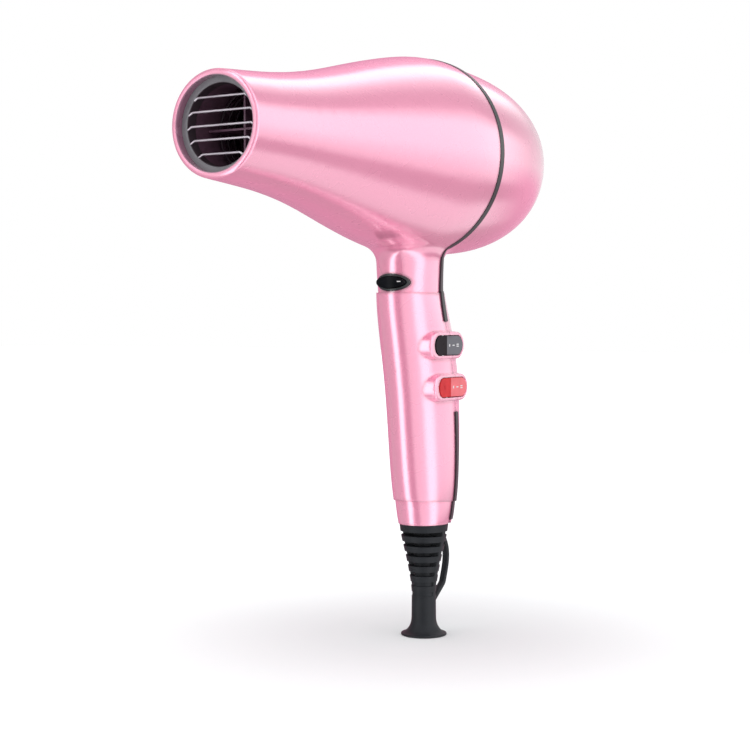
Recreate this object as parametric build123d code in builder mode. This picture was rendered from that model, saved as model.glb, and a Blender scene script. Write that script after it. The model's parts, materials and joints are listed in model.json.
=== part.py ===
"""Hair dryer with an AC motor: barrel, oval handle, switches, cord guard and everything inside.

Frame: millimetres, +Z up. The origin is the centre of the cord guard's foot, the air leaves
towards -Y, and the two rocker switches are on the +X side. The barrel's axis is level.
"""

import os
from math import cos, radians, sin, sqrt

from build123d import *

os.makedirs("parts", exist_ok=True)

# ---------------------------------------------------------------- driving dimensions
AXIS_Z = 221.3  # height of the barrel's axis above the foot
SEAM_Y = -9.7  # where the front shell ends and the seam strip starts
BODY_R = 45.0  # largest radius of the barrel, at the seam
NOSE_LENGTH = 147.4  # from the seam forward to the nozzle's face
NOZZLE_R = 20.8
OUTLET_BORE_R = 18.35
OUTLET_BORE_DEPTH = 3.6
RING_SEAT_R = 18.7  # the outlet ring's seat behind the bore
RING_SEAT_END = 9.0
RIM_ROUND = 1.2
REAR_R = 43.8
REAR_LENGTH = 68.7  # from the seam back to the edge of the flat end
COVER_START = 63.9  # the filter cover begins this far behind the seam
WALL = 2.4  # barrel wall
HANDLE_WALL = 1.8
STRIP_WIDTH = 3.3
STRIP_GAP = 0.15  # shadow line in front of the strip
STRIP_RISE = 0.7  # the strip stands this far out of the handle
BARREL_RISE = 0.2
NECK_FILLET = 8.5

HANDLE_BOTTOM = 52.5
HANDLE_FLOOR = 2.0
GRIP_TOP = 159.5
GRIP_BOTTOM = 63.2
GRIP_SLANT = 2.7  # degrees that the grip's lower edge falls towards the back
UPPER_STRIP_END = 146.4
LOWER_STRIP_TOP = 104.7

# Oval sections: height, centre along Y, half-width along X, half-width along Y
CORE_SECTIONS = (
    (HANDLE_BOTTOM, 0.8, 11.8, 13.7),
    (63.0, 0.9, 13.1, 15.7),
    (87.0, 0.3, 13.4, 18.6),
    (125.0, -3.5, 13.9, 20.1),
    (148.0, -9.5, 13.6, 18.8),
    (162.0, -12.3, 13.9, 17.6),
    (196.0, -12.7, 13.9, 17.6),
)
GRIP_SECTIONS = (
    (58.0, 1.0, 13.1, 15.8),
    (65.0, 1.0, 13.9, 17.4),
    (87.0, 0.3, 14.9, 20.1),
    (125.0, -3.5, 15.4, 21.6),
    (148.0, -9.5, 14.9, 20.3),
    (164.0, -12.9, 14.0, 18.3),
)
# Centre line of the seam on the handle's sides, as Y, Z
SEAM_TOP = 162.0
SEAM_POINTS = ((-4.6, 142.0), (2.0, 116.0), (5.7, 82.0), (2.0, 44.0))

# Rocker switches
SWITCH_FACE_X = 16.3
SPEED_Z = 135.5
HEAT_Z = 116.2
SPEED_BOSS_Y = -6.2
HEAT_BOSS_Y = -2.5
BOSS_LENGTH = 30.0
BOSS_HEIGHT = 12.2
BOSS_SETBACK = 1.0  # the opening sits this far behind the boss's centre
OPENING_LENGTH = 26.0
OPENING_HEIGHT = 9.4
ROCKER_GAP = 0.35
ROCKER_LENGTH = OPENING_LENGTH - 4 * ROCKER_GAP
ROCKER_HEIGHT = OPENING_HEIGHT - 2 * ROCKER_GAP
ROCKER_PIVOT_X = 12.6
ROCKER_PIN_R = 0.8
ROCKER_PIN_LENGTH = 11.4
RUNNING_FIT = 0.05

# Cold-shot button, on the front of the neck
BUTTON_Z = 164.0
BUTTON_HALF_WIDTH = 8.6
BUTTON_HALF_HEIGHT = 3.9
BEZEL_RIM = 1.0
NECK_FRONT_Y = CORE_SECTIONS[5][1] - CORE_SECTIONS[5][3]

# Motor and fan, as distances behind the seam
DUCT_R = 35.0
DUCT_WALL = 1.5
DUCT_START = -14.0
DUCT_END = 54.0
SLEEVE_R = 28.2
STATOR_R = 26.5
STATOR_START = 8.0
STATOR_LENGTH = 22.0
STATOR_BORE_R = 15.4
ARMATURE_R = 15.0
SHAFT_R = 2.5
BEARING_R = 5.0
BEARING_LENGTH = 6.0
FAN_START = 41.5
FAN_LENGTH = 11.0
FAN_HUB_R = 17.0
FAN_R = 32.6
FAN_BLADES = 9
FAN_PITCH = 52.0

# Cord guard
GUARD_BORE_R = 3.9
GUARD_TUBE_R = 5.65
FOOT_R = 10.7
COLLAR_TOP = 52.2
WINDOW_PITCH = 4.74
WINDOW_HEIGHT = 2.0
TOP_WINDOW_Z = 47.9
WINDOW_CORE_RADII = (4.7, 4.7, 4.7, 4.7, 4.7, 5.3, 5.4)

# ---------------------------------------------------------------- planes and axes
SEAM_CENTRE_Y = SEAM_Y + STRIP_WIDTH / 2
SECTION_PLANE = Plane(origin=(0, SEAM_Y, AXIS_Z), x_dir=(0, 1, 0), z_dir=(1, 0, 0))
LEVEL_PLANE = Plane(origin=(0, SEAM_Y, AXIS_Z), x_dir=(0, 1, 0), z_dir=(0, 0, 1))
BARREL_AXIS = Axis((0, SEAM_Y, AXIS_Z), (0, 1, 0))


def barrel_plane(behind_seam):
    """Plane square to the barrel's axis, its normal towards the back."""
    return Plane(
        origin=(0, SEAM_Y + behind_seam, AXIS_Z), x_dir=(1, 0, 0), z_dir=(0, 1, 0)
    )


def save_piece(piece, label):
    """Name a finished piece and write it."""
    piece.part.label = label
    export_step(piece.part, f"parts/{label}.step")


# ---------------------------------------------------------------- construction forms
def barrel_form(inset, nose_end=NOSE_LENGTH):
    """Solid of revolution of the whole barrel, shrunk by inset."""
    with BuildPart() as form:
        with BuildSketch(SECTION_PLANE):
            with BuildLine():
                nose = Spline(
                    (-NOSE_LENGTH, NOZZLE_R - inset),
                    (-116, 23.5 - inset),
                    (-84, 28.6 - inset),
                    (-52, 36.2 - inset),
                    (-20, 43.1 - inset),
                    (0, BODY_R - inset),
                    tangents=[(1, 0.09), (1, 0.02)],
                )
                strip = ThreePointArc(
                    nose @ 1,
                    (STRIP_WIDTH / 2, BODY_R - inset - 0.15),
                    (STRIP_WIDTH, REAR_R + 0.1 - inset),
                )
                bowl = Spline(
                    strip @ 1,
                    (28.8, 43.0 - inset),
                    (57.5, 37.6 - inset),
                    (REAR_LENGTH - inset, 26.4 - inset),
                    tangents=[(1, 0), (0, -1)],
                )
                end = ThreePointArc(
                    bowl @ 1,
                    (REAR_LENGTH - inset + 0.7, 13.0),
                    (REAR_LENGTH - inset + 1.0, 0),
                )
                Polyline(end @ 1, (-NOSE_LENGTH, 0), nose @ 0)
            make_face()
        revolve(axis=BARREL_AXIS)
        if nose_end < NOSE_LENGTH:
            split(bisect_by=barrel_plane(-nose_end), keep=Keep.TOP)
    return form.part


def oval_form(sections, inset=0.0):
    """Loft through level ovals, shrunk by inset."""
    with BuildPart() as form:
        for height, centre_y, half_x, half_y in sections:
            with BuildSketch(Plane.XY.offset(height)):
                with Locations((0, centre_y)):
                    Ellipse(half_x - inset, half_y - inset)
        loft()
    return form.part


def behind_seam_form(shift):
    """Everything behind the seam's centre line moved back by shift."""
    with BuildPart() as form:
        with BuildSketch(Plane.YZ):
            with BuildLine():
                start = (SEAM_CENTRE_Y + shift, SEAM_TOP)
                curve = Spline(
                    start,
                    *[(y + shift, z) for y, z in SEAM_POINTS],
                    tangents=[(0, -1), (-0.25, -1)],
                )
                Polyline(
                    curve @ 1, (120, 44), (120, 300), (SEAM_CENTRE_Y + shift, 300), start
                )
            make_face()
        extrude(amount=80, both=True)
    return form.part


def slab_form(bottom, top):
    """Wide level slab between two heights."""
    with BuildPart() as form:
        with BuildSketch(Plane.XY.offset(bottom)):
            Rectangle(200, 500)
        extrude(amount=top - bottom)
    return form.part


def switch_column(centre_y, centre_z, length, height, start_x, end_x, taper=0.0):
    """Round-ended block along X, for a switch boss or its opening."""
    with BuildPart() as form:
        plane = Plane(origin=(start_x, centre_y, centre_z), x_dir=(0, 1, 0), z_dir=(1, 0, 0))
        with BuildSketch(plane):
            SlotOverall(length, height)
        extrude(amount=end_x - start_x, taper=taper)
    return form.part


SWITCHES = ((SPEED_BOSS_Y, SPEED_Z), (HEAT_BOSS_Y, HEAT_Z))

with BuildPart() as outer_body:
    add(barrel_form(0))
    add(oval_form(CORE_SECTIONS))
    neck_joint = outer_body.edges().filter_by(
        lambda edge: 172 < edge.center().Z < 188 and edge.length > 15
    )
    fillet(neck_joint, NECK_FILLET)
    fillet(outer_body.edges().sort_by(Axis.Y)[0], RIM_ROUND)

with BuildPart() as cavity:
    add(barrel_form(WALL, NOSE_LENGTH - RING_SEAT_END))
    add(oval_form(CORE_SECTIONS, HANDLE_WALL))
    add(slab_form(0, HANDLE_BOTTOM + HANDLE_FLOOR), mode=Mode.SUBTRACT)
    with BuildSketch(barrel_plane(-NOSE_LENGTH)):
        Circle(OUTLET_BORE_R)
    extrude(amount=OUTLET_BORE_DEPTH)
    with BuildSketch(barrel_plane(OUTLET_BORE_DEPTH - NOSE_LENGTH)):
        Circle(RING_SEAT_R)
    extrude(amount=RING_SEAT_END - OUTLET_BORE_DEPTH + 3)
    with BuildSketch(Plane.XY.offset(HANDLE_BOTTOM - 1)):
        Circle(8.4)
    extrude(amount=HANDLE_FLOOR + 2)

with BuildPart() as grip_body:
    add(oval_form(GRIP_SECTIONS))
    add(slab_form(GRIP_TOP, GRIP_TOP + 20), mode=Mode.SUBTRACT)
    split(
        bisect_by=Plane(origin=(0, 0, GRIP_BOTTOM), z_dir=(0, sin(radians(GRIP_SLANT)), 1)),
        keep=Keep.TOP,
    )
    for boss_y, boss_z in SWITCHES:
        add(switch_column(boss_y, boss_z, BOSS_LENGTH + 1.8, BOSS_HEIGHT + 1.2, 6, SWITCH_FACE_X, 3))
    rims = grip_body.faces().filter_by(Axis.X).group_by(Axis.X)[-1].edges()
    fillet(rims, 0.9)

with BuildPart() as switch_openings:
    for boss_y, boss_z in SWITCHES:
        opening_y = boss_y + BOSS_SETBACK
        add(switch_column(opening_y, boss_z, OPENING_LENGTH, OPENING_HEIGHT, 5, 20))
        with BuildSketch(Plane.XY.offset(boss_z - ROCKER_PIN_LENGTH / 2 - 0.2)):
            with Locations((ROCKER_PIVOT_X, opening_y)):
                Circle(ROCKER_PIN_R + RUNNING_FIT)
        extrude(amount=ROCKER_PIN_LENGTH + 0.4)

with BuildPart() as button_hole:
    with BuildSketch(Plane.XZ.offset(10)):
        with Locations((0, BUTTON_Z)):
            Ellipse(BUTTON_HALF_WIDTH, BUTTON_HALF_HEIGHT)
    extrude(amount=30)

# ---------------------------------------------------------------- shells and grips
SCREW_HEIGHTS = (70.0, 150.0)
SCREW_BOSS_R = 3.2
SCREW_R = 1.5
SCREW_HEAD_R = 2.9
SCREW_HEAD_LENGTH = 2.2


def screw_boss(height, start_y, end_y):
    """Round post along Y in the middle of the handle."""
    with BuildPart() as post:
        with BuildSketch(Plane.XZ.offset(-start_y)):
            with Locations((0, height)):
                Circle(SCREW_BOSS_R)
        extrude(amount=start_y - end_y)
    return post.part


def handle_screw(height, head_y, head_length, length, clearance=0.0):
    """Screw along -Y, with its head starting at head_y, or the stepped hole for it."""
    with BuildPart() as screw:
        with BuildSketch(Plane.XZ.offset(-head_y)):
            with Locations((0, height)):
                Circle(SCREW_HEAD_R + clearance)
        extrude(amount=head_length)
        with BuildSketch(Plane.XZ.offset(-head_y)):
            with Locations((0, height)):
                Circle(SCREW_R + clearance)
        extrude(amount=length)
    return screw.part


def oval_centre(height):
    """Centre of the handle's core along Y at a height, between its two nearest sections."""
    for low, high in zip(CORE_SECTIONS, CORE_SECTIONS[1:]):
        if low[0] <= height <= high[0]:
            share = (height - low[0]) / (high[0] - low[0])
            return low[1] + share * (high[1] - low[1]), low[3] + share * (high[3] - low[3])
    return CORE_SECTIONS[-1][1], CORE_SECTIONS[-1][3]


with BuildPart() as screw_holes:
    for screw_z in SCREW_HEIGHTS:
        centre_y, half_y = oval_centre(screw_z)
        add(handle_screw(screw_z, centre_y + half_y + 4, 4.4 + SCREW_HEAD_LENGTH, 34, 0.15))

with BuildPart() as front_shell:
    add(outer_body.part)
    add(cavity.part, mode=Mode.SUBTRACT)
    for screw_z in SCREW_HEIGHTS:
        centre_y, half_y = oval_centre(screw_z)
        add(screw_boss(screw_z, centre_y + 10, centre_y - half_y + HANDLE_WALL - 0.6))
    add(behind_seam_form(-STRIP_WIDTH / 2 - STRIP_GAP), mode=Mode.SUBTRACT)
    add(switch_openings.part, mode=Mode.SUBTRACT)
    add(button_hole.part, mode=Mode.SUBTRACT)
    add(screw_holes.part, mode=Mode.SUBTRACT)
save_piece(front_shell, "front_shell")

with BuildPart() as rear_shell:
    add(outer_body.part)
    add(cavity.part, mode=Mode.SUBTRACT)
    for screw_z in SCREW_HEIGHTS:
        centre_y, half_y = oval_centre(screw_z)
        add(screw_boss(screw_z, centre_y + half_y - HANDLE_WALL + 0.6, centre_y - 8))
    add(behind_seam_form(STRIP_WIDTH / 2), mode=Mode.INTERSECT)
    with BuildSketch(barrel_plane(COVER_START - 0.3)):
        Circle(60)
    extrude(amount=20, mode=Mode.SUBTRACT)
    add(switch_openings.part, mode=Mode.SUBTRACT)
    add(screw_holes.part, mode=Mode.SUBTRACT)
save_piece(rear_shell, "rear_shell")


def grip_side(shift, gap):
    """Region behind the seam for the grips: narrow between the switches, wide at the strips."""
    with BuildPart() as region:
        add(behind_seam_form(shift))
        add(slab_form(LOWER_STRIP_TOP, UPPER_STRIP_END), mode=Mode.SUBTRACT)
        add(middle_region(gap))
    return region.part


def middle_region(gap):
    """Part of the region behind the seam where the two grips meet edge to edge."""
    with BuildPart() as region:
        add(behind_seam_form(gap))
        add(slab_form(LOWER_STRIP_TOP, UPPER_STRIP_END), mode=Mode.INTERSECT)
    return region.part


with BuildPart() as front_grip:
    add(grip_body.part)
    add(oval_form(CORE_SECTIONS, -0.05), mode=Mode.SUBTRACT)
    add(grip_side(-STRIP_WIDTH / 2 - STRIP_GAP, -0.1), mode=Mode.SUBTRACT)
    add(switch_openings.part, mode=Mode.SUBTRACT)
save_piece(front_grip, "front_grip")

with BuildPart() as rear_grip:
    add(grip_body.part)
    add(oval_form(CORE_SECTIONS, -0.05), mode=Mode.SUBTRACT)
    add(grip_side(STRIP_WIDTH / 2, 0.1), mode=Mode.INTERSECT)
    add(switch_openings.part, mode=Mode.SUBTRACT)
    add(screw_holes.part, mode=Mode.SUBTRACT)
save_piece(rear_grip, "rear_grip")


# ---------------------------------------------------------------- seam strips
with BuildPart() as raised_body:
    add(barrel_form(-BARREL_RISE))
    add(oval_form(CORE_SECTIONS, -STRIP_RISE))
    raised_joint = raised_body.edges().filter_by(
        lambda edge: 172 < edge.center().Z < 188 and edge.length > 15
    )
    fillet(raised_joint, NECK_FILLET - STRIP_RISE)
    add(slab_form(0, HANDLE_BOTTOM), mode=Mode.SUBTRACT)
    with BuildSketch(barrel_plane(0)):
        Circle(BODY_R + BARREL_RISE)
    extrude(amount=STRIP_WIDTH)

with BuildPart() as raised_grip:
    add(oval_form(GRIP_SECTIONS, -STRIP_RISE))
    add(slab_form(GRIP_TOP + STRIP_RISE, GRIP_TOP + 20), mode=Mode.SUBTRACT)
    split(
        bisect_by=Plane(origin=(0, 0, GRIP_BOTTOM), z_dir=(0, sin(radians(GRIP_SLANT)), 1)),
        keep=Keep.TOP,
    )


def strip_form(bottom, top):
    """Strip between the shells over a range of heights, as deep as the walls."""
    with BuildPart() as strip:
        add(raised_body.part)
        add(raised_grip.part)
        add(cavity.part, mode=Mode.SUBTRACT)
        add(behind_seam_form(-STRIP_WIDTH / 2), mode=Mode.INTERSECT)
        add(behind_seam_form(STRIP_WIDTH / 2 - STRIP_GAP / 3), mode=Mode.SUBTRACT)
        add(slab_form(bottom, top), mode=Mode.INTERSECT)
        for height in SCREW_HEIGHTS:
            with BuildSketch(Plane.XZ.offset(-60)):
                with Locations((0, height)):
                    Circle(SCREW_BOSS_R + 0.1)
            extrude(amount=120, mode=Mode.SUBTRACT)
    return strip.part


with BuildPart() as seam_strip:
    add(strip_form(UPPER_STRIP_END, 280))
    add(switch_column(SPEED_BOSS_Y, SPEED_Z, 40, 22, 0, 30), mode=Mode.SUBTRACT)
save_piece(seam_strip, "seam_strip")

with BuildPart() as handle_strips:
    add(strip_form(HANDLE_BOTTOM + HANDLE_FLOOR, LOWER_STRIP_TOP))
save_piece(handle_strips, "handle_strips")


# ---------------------------------------------------------------- air outlet
RING_FRONT = -NOSE_LENGTH + OUTLET_BORE_DEPTH + 0.05
RING_LENGTH = 5.3
RING_BORE_R = 15.9
WIRE_R = 0.48
WIRE_COUNT = 5
WIRE_PITCH = 5.45
WIRE_BEND = 2.2
WIRE_HOOK = 1.3  # the ends turn down this far
WIRE_SETBACK = 0.85

with BuildPart() as outlet_ring:
    with BuildSketch(barrel_plane(RING_FRONT)):
        Circle(RING_SEAT_R - RUNNING_FIT)
        Circle(RING_BORE_R, mode=Mode.SUBTRACT)
    extrude(amount=RING_LENGTH)
    chamfer(outlet_ring.edges().group_by(Axis.Y)[0].sort_by(SortBy.RADIUS)[0], 0.5)
save_piece(outlet_ring, "outlet_ring")


def outlet_wire(drop):
    """One level wire with both ends turned down into the ring."""
    end_drop = drop - WIRE_HOOK
    reach = sqrt((RING_BORE_R + 0.6) ** 2 - end_drop**2)
    place_y = SEAM_Y + RING_FRONT + WIRE_SETBACK
    height = AXIS_Z + drop
    with BuildPart() as wire:
        with BuildLine() as route:
            FilletPolyline(
                (-reach, place_y, height - WIRE_HOOK),
                (-reach + WIRE_BEND, place_y, height),
                (reach - WIRE_BEND, place_y, height),
                (reach, place_y, height - WIRE_HOOK),
                radius=1.2,
            )
        with BuildSketch(Plane(origin=route.line @ 0, z_dir=route.line % 0)):
            Circle(WIRE_R)
        sweep(path=route.line)
    return wire.part


with BuildPart() as outlet_wires:
    for wire_number in range(WIRE_COUNT):
        add(outlet_wire((wire_number - (WIRE_COUNT - 1) / 2) * WIRE_PITCH))
save_piece(outlet_wires, "outlet_wires")

# ---------------------------------------------------------------- heater
SLEEVE_START = -137.6
HEATER_START = -128.0
HEATER_END = -36.0
HEATER_FRONT_R = 18.6
HEATER_REAR_R = 32.6
MICA_THICKNESS = 0.8
COIL_TURNS = 14
COIL_WIRE_R = 0.55


def heater_radius(behind_seam):
    """Outer radius of the heater's tapered sleeve, which fits inside the nose."""
    share = (behind_seam - HEATER_START) / (HEATER_END - HEATER_START)
    return HEATER_FRONT_R + share * (HEATER_REAR_R - HEATER_FRONT_R)


with BuildPart() as heater_sleeve:
    with BuildSketch(SECTION_PLANE):
        with BuildLine():
            Polyline(
                (SLEEVE_START, heater_radius(SLEEVE_START) - 0.5),
                (HEATER_END, heater_radius(HEATER_END) - 0.5),
                (HEATER_END, heater_radius(HEATER_END)),
                (SLEEVE_START, heater_radius(SLEEVE_START)),
                close=True,
            )
        make_face()
    revolve(axis=BARREL_AXIS)
save_piece(heater_sleeve, "heater_sleeve")

with BuildPart() as mica_boards:
    for board_plane in (SECTION_PLANE, LEVEL_PLANE):
        with BuildSketch(board_plane):
            with BuildLine():
                Polyline(
                    (HEATER_START, heater_radius(HEATER_START) - 1.0),
                    (HEATER_END, heater_radius(HEATER_END) - 1.0),
                    (HEATER_END, -heater_radius(HEATER_END) + 1.0),
                    (HEATER_START, -heater_radius(HEATER_START) + 1.0),
                    close=True,
                )
            make_face()
        extrude(amount=MICA_THICKNESS / 2, both=True)
save_piece(mica_boards, "mica_boards")


def coil_turn(behind_seam, radius):
    """One round of heating wire about the barrel's axis."""
    with BuildPart() as turn:
        with BuildSketch(SECTION_PLANE):
            with Locations((behind_seam, radius)):
                Circle(COIL_WIRE_R)
        revolve(axis=BARREL_AXIS)
    return turn.part


with BuildPart() as heating_coils:
    for turn_number in range(COIL_TURNS):
        turn_place = HEATER_START + 6 + turn_number * 5.6
        add(coil_turn(turn_place, heater_radius(turn_place) - 3.0))
save_piece(heating_coils, "heating_coils")

with BuildPart(Plane(origin=(MICA_THICKNESS / 2 + 1.5, SEAM_Y + HEATER_END - 7, AXIS_Z + 11))) as thermostat:
    Box(3, 9, 8)
    fillet(thermostat.edges().filter_by(Axis.X), 1.5)
    with Locations((2.4, 0, 0)):
        Box(2.0, 7, 5)
save_piece(thermostat, "thermostat")

with BuildPart(Plane(origin=(2.1, SEAM_Y + HEATER_END - 7, AXIS_Z - 11))) as thermal_fuse:
    Cylinder(1.7, 9, rotation=(90, 0, 0))
    Cylinder(0.5, 14, rotation=(90, 0, 0))
save_piece(thermal_fuse, "thermal_fuse")

# ---------------------------------------------------------------- motor and fan duct
VANE_COUNT = 7
VANE_THICKNESS = 1.4

with BuildPart() as motor_duct:
    with BuildSketch(barrel_plane(DUCT_START)):
        Circle(DUCT_R)
        Circle(DUCT_R - DUCT_WALL, mode=Mode.SUBTRACT)
    extrude(amount=DUCT_END - DUCT_START)
    with BuildSketch(barrel_plane(DUCT_START + 6)):
        Circle(SLEEVE_R)
        Circle(SLEEVE_R - 1.4, mode=Mode.SUBTRACT)
        with PolarLocations((SLEEVE_R + DUCT_R - DUCT_WALL) / 2, VANE_COUNT, 90):
            Rectangle(DUCT_R - DUCT_WALL - SLEEVE_R + 1.6, VANE_THICKNESS)
    extrude(amount=46)
    with BuildSketch(barrel_plane(20)):
        with PolarLocations(DUCT_R + 1.6, 4, 0):
            Rectangle(4.4, 3.0)
    extrude(amount=16)
save_piece(motor_duct, "motor_duct")

COIL_INNER_R = 17.2
COIL_OUTER_R = 22.4
COIL_HALF_ANGLE = 52.0
MOTOR_SCREW_R = 1.3
MOTOR_SCREW_PCD_R = 24.2


def ring_sector(behind_seam, length, inner, outer, half_angle, facing):
    """Arc-shaped block about the barrel's axis, centred on the direction facing."""
    with BuildPart() as sector:
        with BuildSketch(barrel_plane(behind_seam)):
            with BuildLine():
                CenterArc((0, 0), outer, facing - half_angle, 2 * half_angle)
                CenterArc((0, 0), inner, facing - half_angle, 2 * half_angle)
                for side in (-1, 1):
                    angle = radians(facing + side * half_angle)
                    Line(
                        (inner * cos(angle), inner * sin(angle)),
                        (outer * cos(angle), outer * sin(angle)),
                    )
            make_face()
        extrude(amount=length)
    return sector.part


with BuildPart() as stator:
    with BuildSketch(barrel_plane(STATOR_START)):
        Circle(STATOR_R)
        Circle(STATOR_BORE_R, mode=Mode.SUBTRACT)
        with PolarLocations(MOTOR_SCREW_PCD_R, 2, 0):
            Circle(MOTOR_SCREW_R + 0.15, mode=Mode.SUBTRACT)
    extrude(amount=STATOR_LENGTH)
    for facing in (90, 270):
        add(
            ring_sector(
                STATOR_START, STATOR_LENGTH, COIL_INNER_R - 0.2, COIL_OUTER_R + 0.2,
                COIL_HALF_ANGLE + 1, facing,
            ),
            mode=Mode.SUBTRACT,
        )
save_piece(stator, "stator")

with BuildPart() as field_coils:
    for facing in (90, 270):
        add(
            ring_sector(
                STATOR_START - 4, STATOR_LENGTH + 8, COIL_INNER_R, COIL_OUTER_R,
                COIL_HALF_ANGLE, facing,
            )
        )
save_piece(field_coils, "field_coils")

FRONT_BRACKET = -6.0
REAR_BRACKET = STATOR_START + STATOR_LENGTH + 5.0
BRACKET_THICKNESS = 2.0


def motor_bracket(behind_seam):
    """End plate of the motor: a bar across the frame with a cup for the bearing."""
    with BuildPart() as bracket:
        with BuildSketch(barrel_plane(behind_seam)):
            SlotOverall(2 * SLEEVE_R - 3.4, 14)
            Circle(10)
            with PolarLocations(MOTOR_SCREW_PCD_R, 2, 0):
                Circle(MOTOR_SCREW_R + 0.15, mode=Mode.SUBTRACT)
        extrude(amount=BRACKET_THICKNESS)
        with BuildSketch(barrel_plane(behind_seam + BRACKET_THICKNESS / 2 - BEARING_LENGTH / 2)):
            Circle(BEARING_R + 1.5)
        extrude(amount=BEARING_LENGTH)
        with BuildSketch(barrel_plane(behind_seam - BEARING_LENGTH)):
            Circle(BEARING_R)
        extrude(amount=3 * BEARING_LENGTH, mode=Mode.SUBTRACT)
    return bracket.part


with BuildPart() as front_bracket:
    add(motor_bracket(FRONT_BRACKET))
save_piece(front_bracket, "motor_front_bracket")

with BuildPart() as rear_bracket:
    add(motor_bracket(REAR_BRACKET))
save_piece(rear_bracket, "motor_rear_bracket")

with BuildPart() as bearings:
    for bracket_place in (FRONT_BRACKET, REAR_BRACKET):
        with BuildSketch(barrel_plane(bracket_place + BRACKET_THICKNESS / 2 - BEARING_LENGTH / 2)):
            Circle(BEARING_R)
            Circle(SHAFT_R + RUNNING_FIT, mode=Mode.SUBTRACT)
        extrude(amount=BEARING_LENGTH)
save_piece(bearings, "motor_bearings")

with BuildPart() as motor_screws:
    for side in (-1, 1):
        with BuildSketch(barrel_plane(FRONT_BRACKET - 1.8)):
            with Locations((side * MOTOR_SCREW_PCD_R, 0)):
                Circle(2 * MOTOR_SCREW_R)
        extrude(amount=1.8)
        with BuildSketch(barrel_plane(FRONT_BRACKET)):
            with Locations((side * MOTOR_SCREW_PCD_R, 0)):
                Circle(MOTOR_SCREW_R)
        extrude(amount=REAR_BRACKET - FRONT_BRACKET + BRACKET_THICKNESS + 0.5)
save_piece(motor_screws, "motor_screws")

# ---------------------------------------------------------------- rotor
SHAFT_START = FRONT_BRACKET - 4.0
SHAFT_END = FAN_START + FAN_LENGTH + 1.0
COMMUTATOR_R = 6.0
COMMUTATOR_START = -1.5
COMMUTATOR_LENGTH = 6.0
ARMATURE_SLOTS = 12

with BuildPart() as motor_shaft:
    with BuildSketch(barrel_plane(SHAFT_START)):
        Circle(SHAFT_R)
    extrude(amount=SHAFT_END - SHAFT_START)
    chamfer(motor_shaft.edges(), 0.4)
save_piece(motor_shaft, "motor_shaft")

with BuildPart() as armature:
    with BuildSketch(barrel_plane(STATOR_START)):
        Circle(ARMATURE_R)
        Circle(SHAFT_R, mode=Mode.SUBTRACT)
        with PolarLocations(ARMATURE_R - 2.5, ARMATURE_SLOTS):
            Rectangle(6.0, 1.4, mode=Mode.SUBTRACT)
    extrude(amount=STATOR_LENGTH)
save_piece(armature, "armature")

with BuildPart() as armature_windings:
    for winding_start, winding_length in (
        (STATOR_START - 3.0, 3.0),
        (STATOR_START + STATOR_LENGTH, 3.0),
    ):
        with BuildSketch(barrel_plane(winding_start)):
            Circle(ARMATURE_R - 1.5)
            Circle(SHAFT_R + 1.5, mode=Mode.SUBTRACT)
        extrude(amount=winding_length)
    fillet(armature_windings.edges().filter_by(GeomType.CIRCLE).group_by(Axis.Y)[0], 1.2)
    fillet(armature_windings.edges().filter_by(GeomType.CIRCLE).group_by(Axis.Y)[-1], 1.2)
save_piece(armature_windings, "armature_windings")

with BuildPart() as commutator:
    with BuildSketch(barrel_plane(COMMUTATOR_START)):
        Circle(COMMUTATOR_R)
        Circle(SHAFT_R, mode=Mode.SUBTRACT)
        with PolarLocations(COMMUTATOR_R, ARMATURE_SLOTS):
            Rectangle(1.6, 0.4, mode=Mode.SUBTRACT)
    extrude(amount=COMMUTATOR_LENGTH)
save_piece(commutator, "commutator")

with BuildPart(barrel_plane(FAN_START)) as fan:
    with Locations((0, 0, FAN_LENGTH / 2)):
        Cylinder(FAN_HUB_R, FAN_LENGTH)
    with Locations((0, 0, FAN_LENGTH / 2 - 2)):
        Cylinder(FAN_HUB_R - 1.6, FAN_LENGTH, mode=Mode.SUBTRACT)
        Cylinder(4.5, FAN_LENGTH)
    with PolarLocations((FAN_HUB_R + FAN_R) / 2 - 0.6, FAN_BLADES):
        with Locations(Location((0, 0, FAN_LENGTH / 2), (FAN_PITCH, 0, 0))):
            Box(FAN_R - FAN_HUB_R + 1.2, 1.3, 15.0)
    with Locations((0, 0, FAN_LENGTH / 2)):
        Cylinder(FAN_R, FAN_LENGTH, mode=Mode.INTERSECT)
        Cylinder(SHAFT_R, 2 * FAN_LENGTH, mode=Mode.SUBTRACT)
save_piece(fan, "fan")

# ---------------------------------------------------------------- brushes
BRUSH_LENGTH = 9.0
BRUSH_GAP = 0.15
BRUSH_PLACE = COMMUTATOR_START + COMMUTATOR_LENGTH / 2

with BuildPart(barrel_plane(BRUSH_PLACE)) as carbon_brushes:
    with PolarLocations(COMMUTATOR_R + BRUSH_GAP + BRUSH_LENGTH / 2, 2):
        Box(BRUSH_LENGTH, 4.0, 4.0)
save_piece(carbon_brushes, "carbon_brushes")

with BuildPart(barrel_plane(BRUSH_PLACE)) as brush_holders:
    with PolarLocations(COMMUTATOR_R + 2.0 + 5.5, 2):
        Box(11.0, 5.6, 5.6)
        Box(12.0, 4.0, 4.0, mode=Mode.SUBTRACT)
        with Locations((0, 0, -3.8)):
            Box(6.0, 4.0, 2.0)
save_piece(brush_holders, "brush_holders")

# ---------------------------------------------------------------- air inlet
COVER_RIM_R = 33.2
SKIRT_R = 30.6
COVER_WALL = 1.6
HOLE_RINGS = ((0.0, 1), (4.0, 8), (8.0, 14), (12.0, 20), (16.0, 26), (20.0, 32), (24.0, 38))
COVER_HOLE_R = 1.15
GRILLE_R = 25.9

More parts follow.
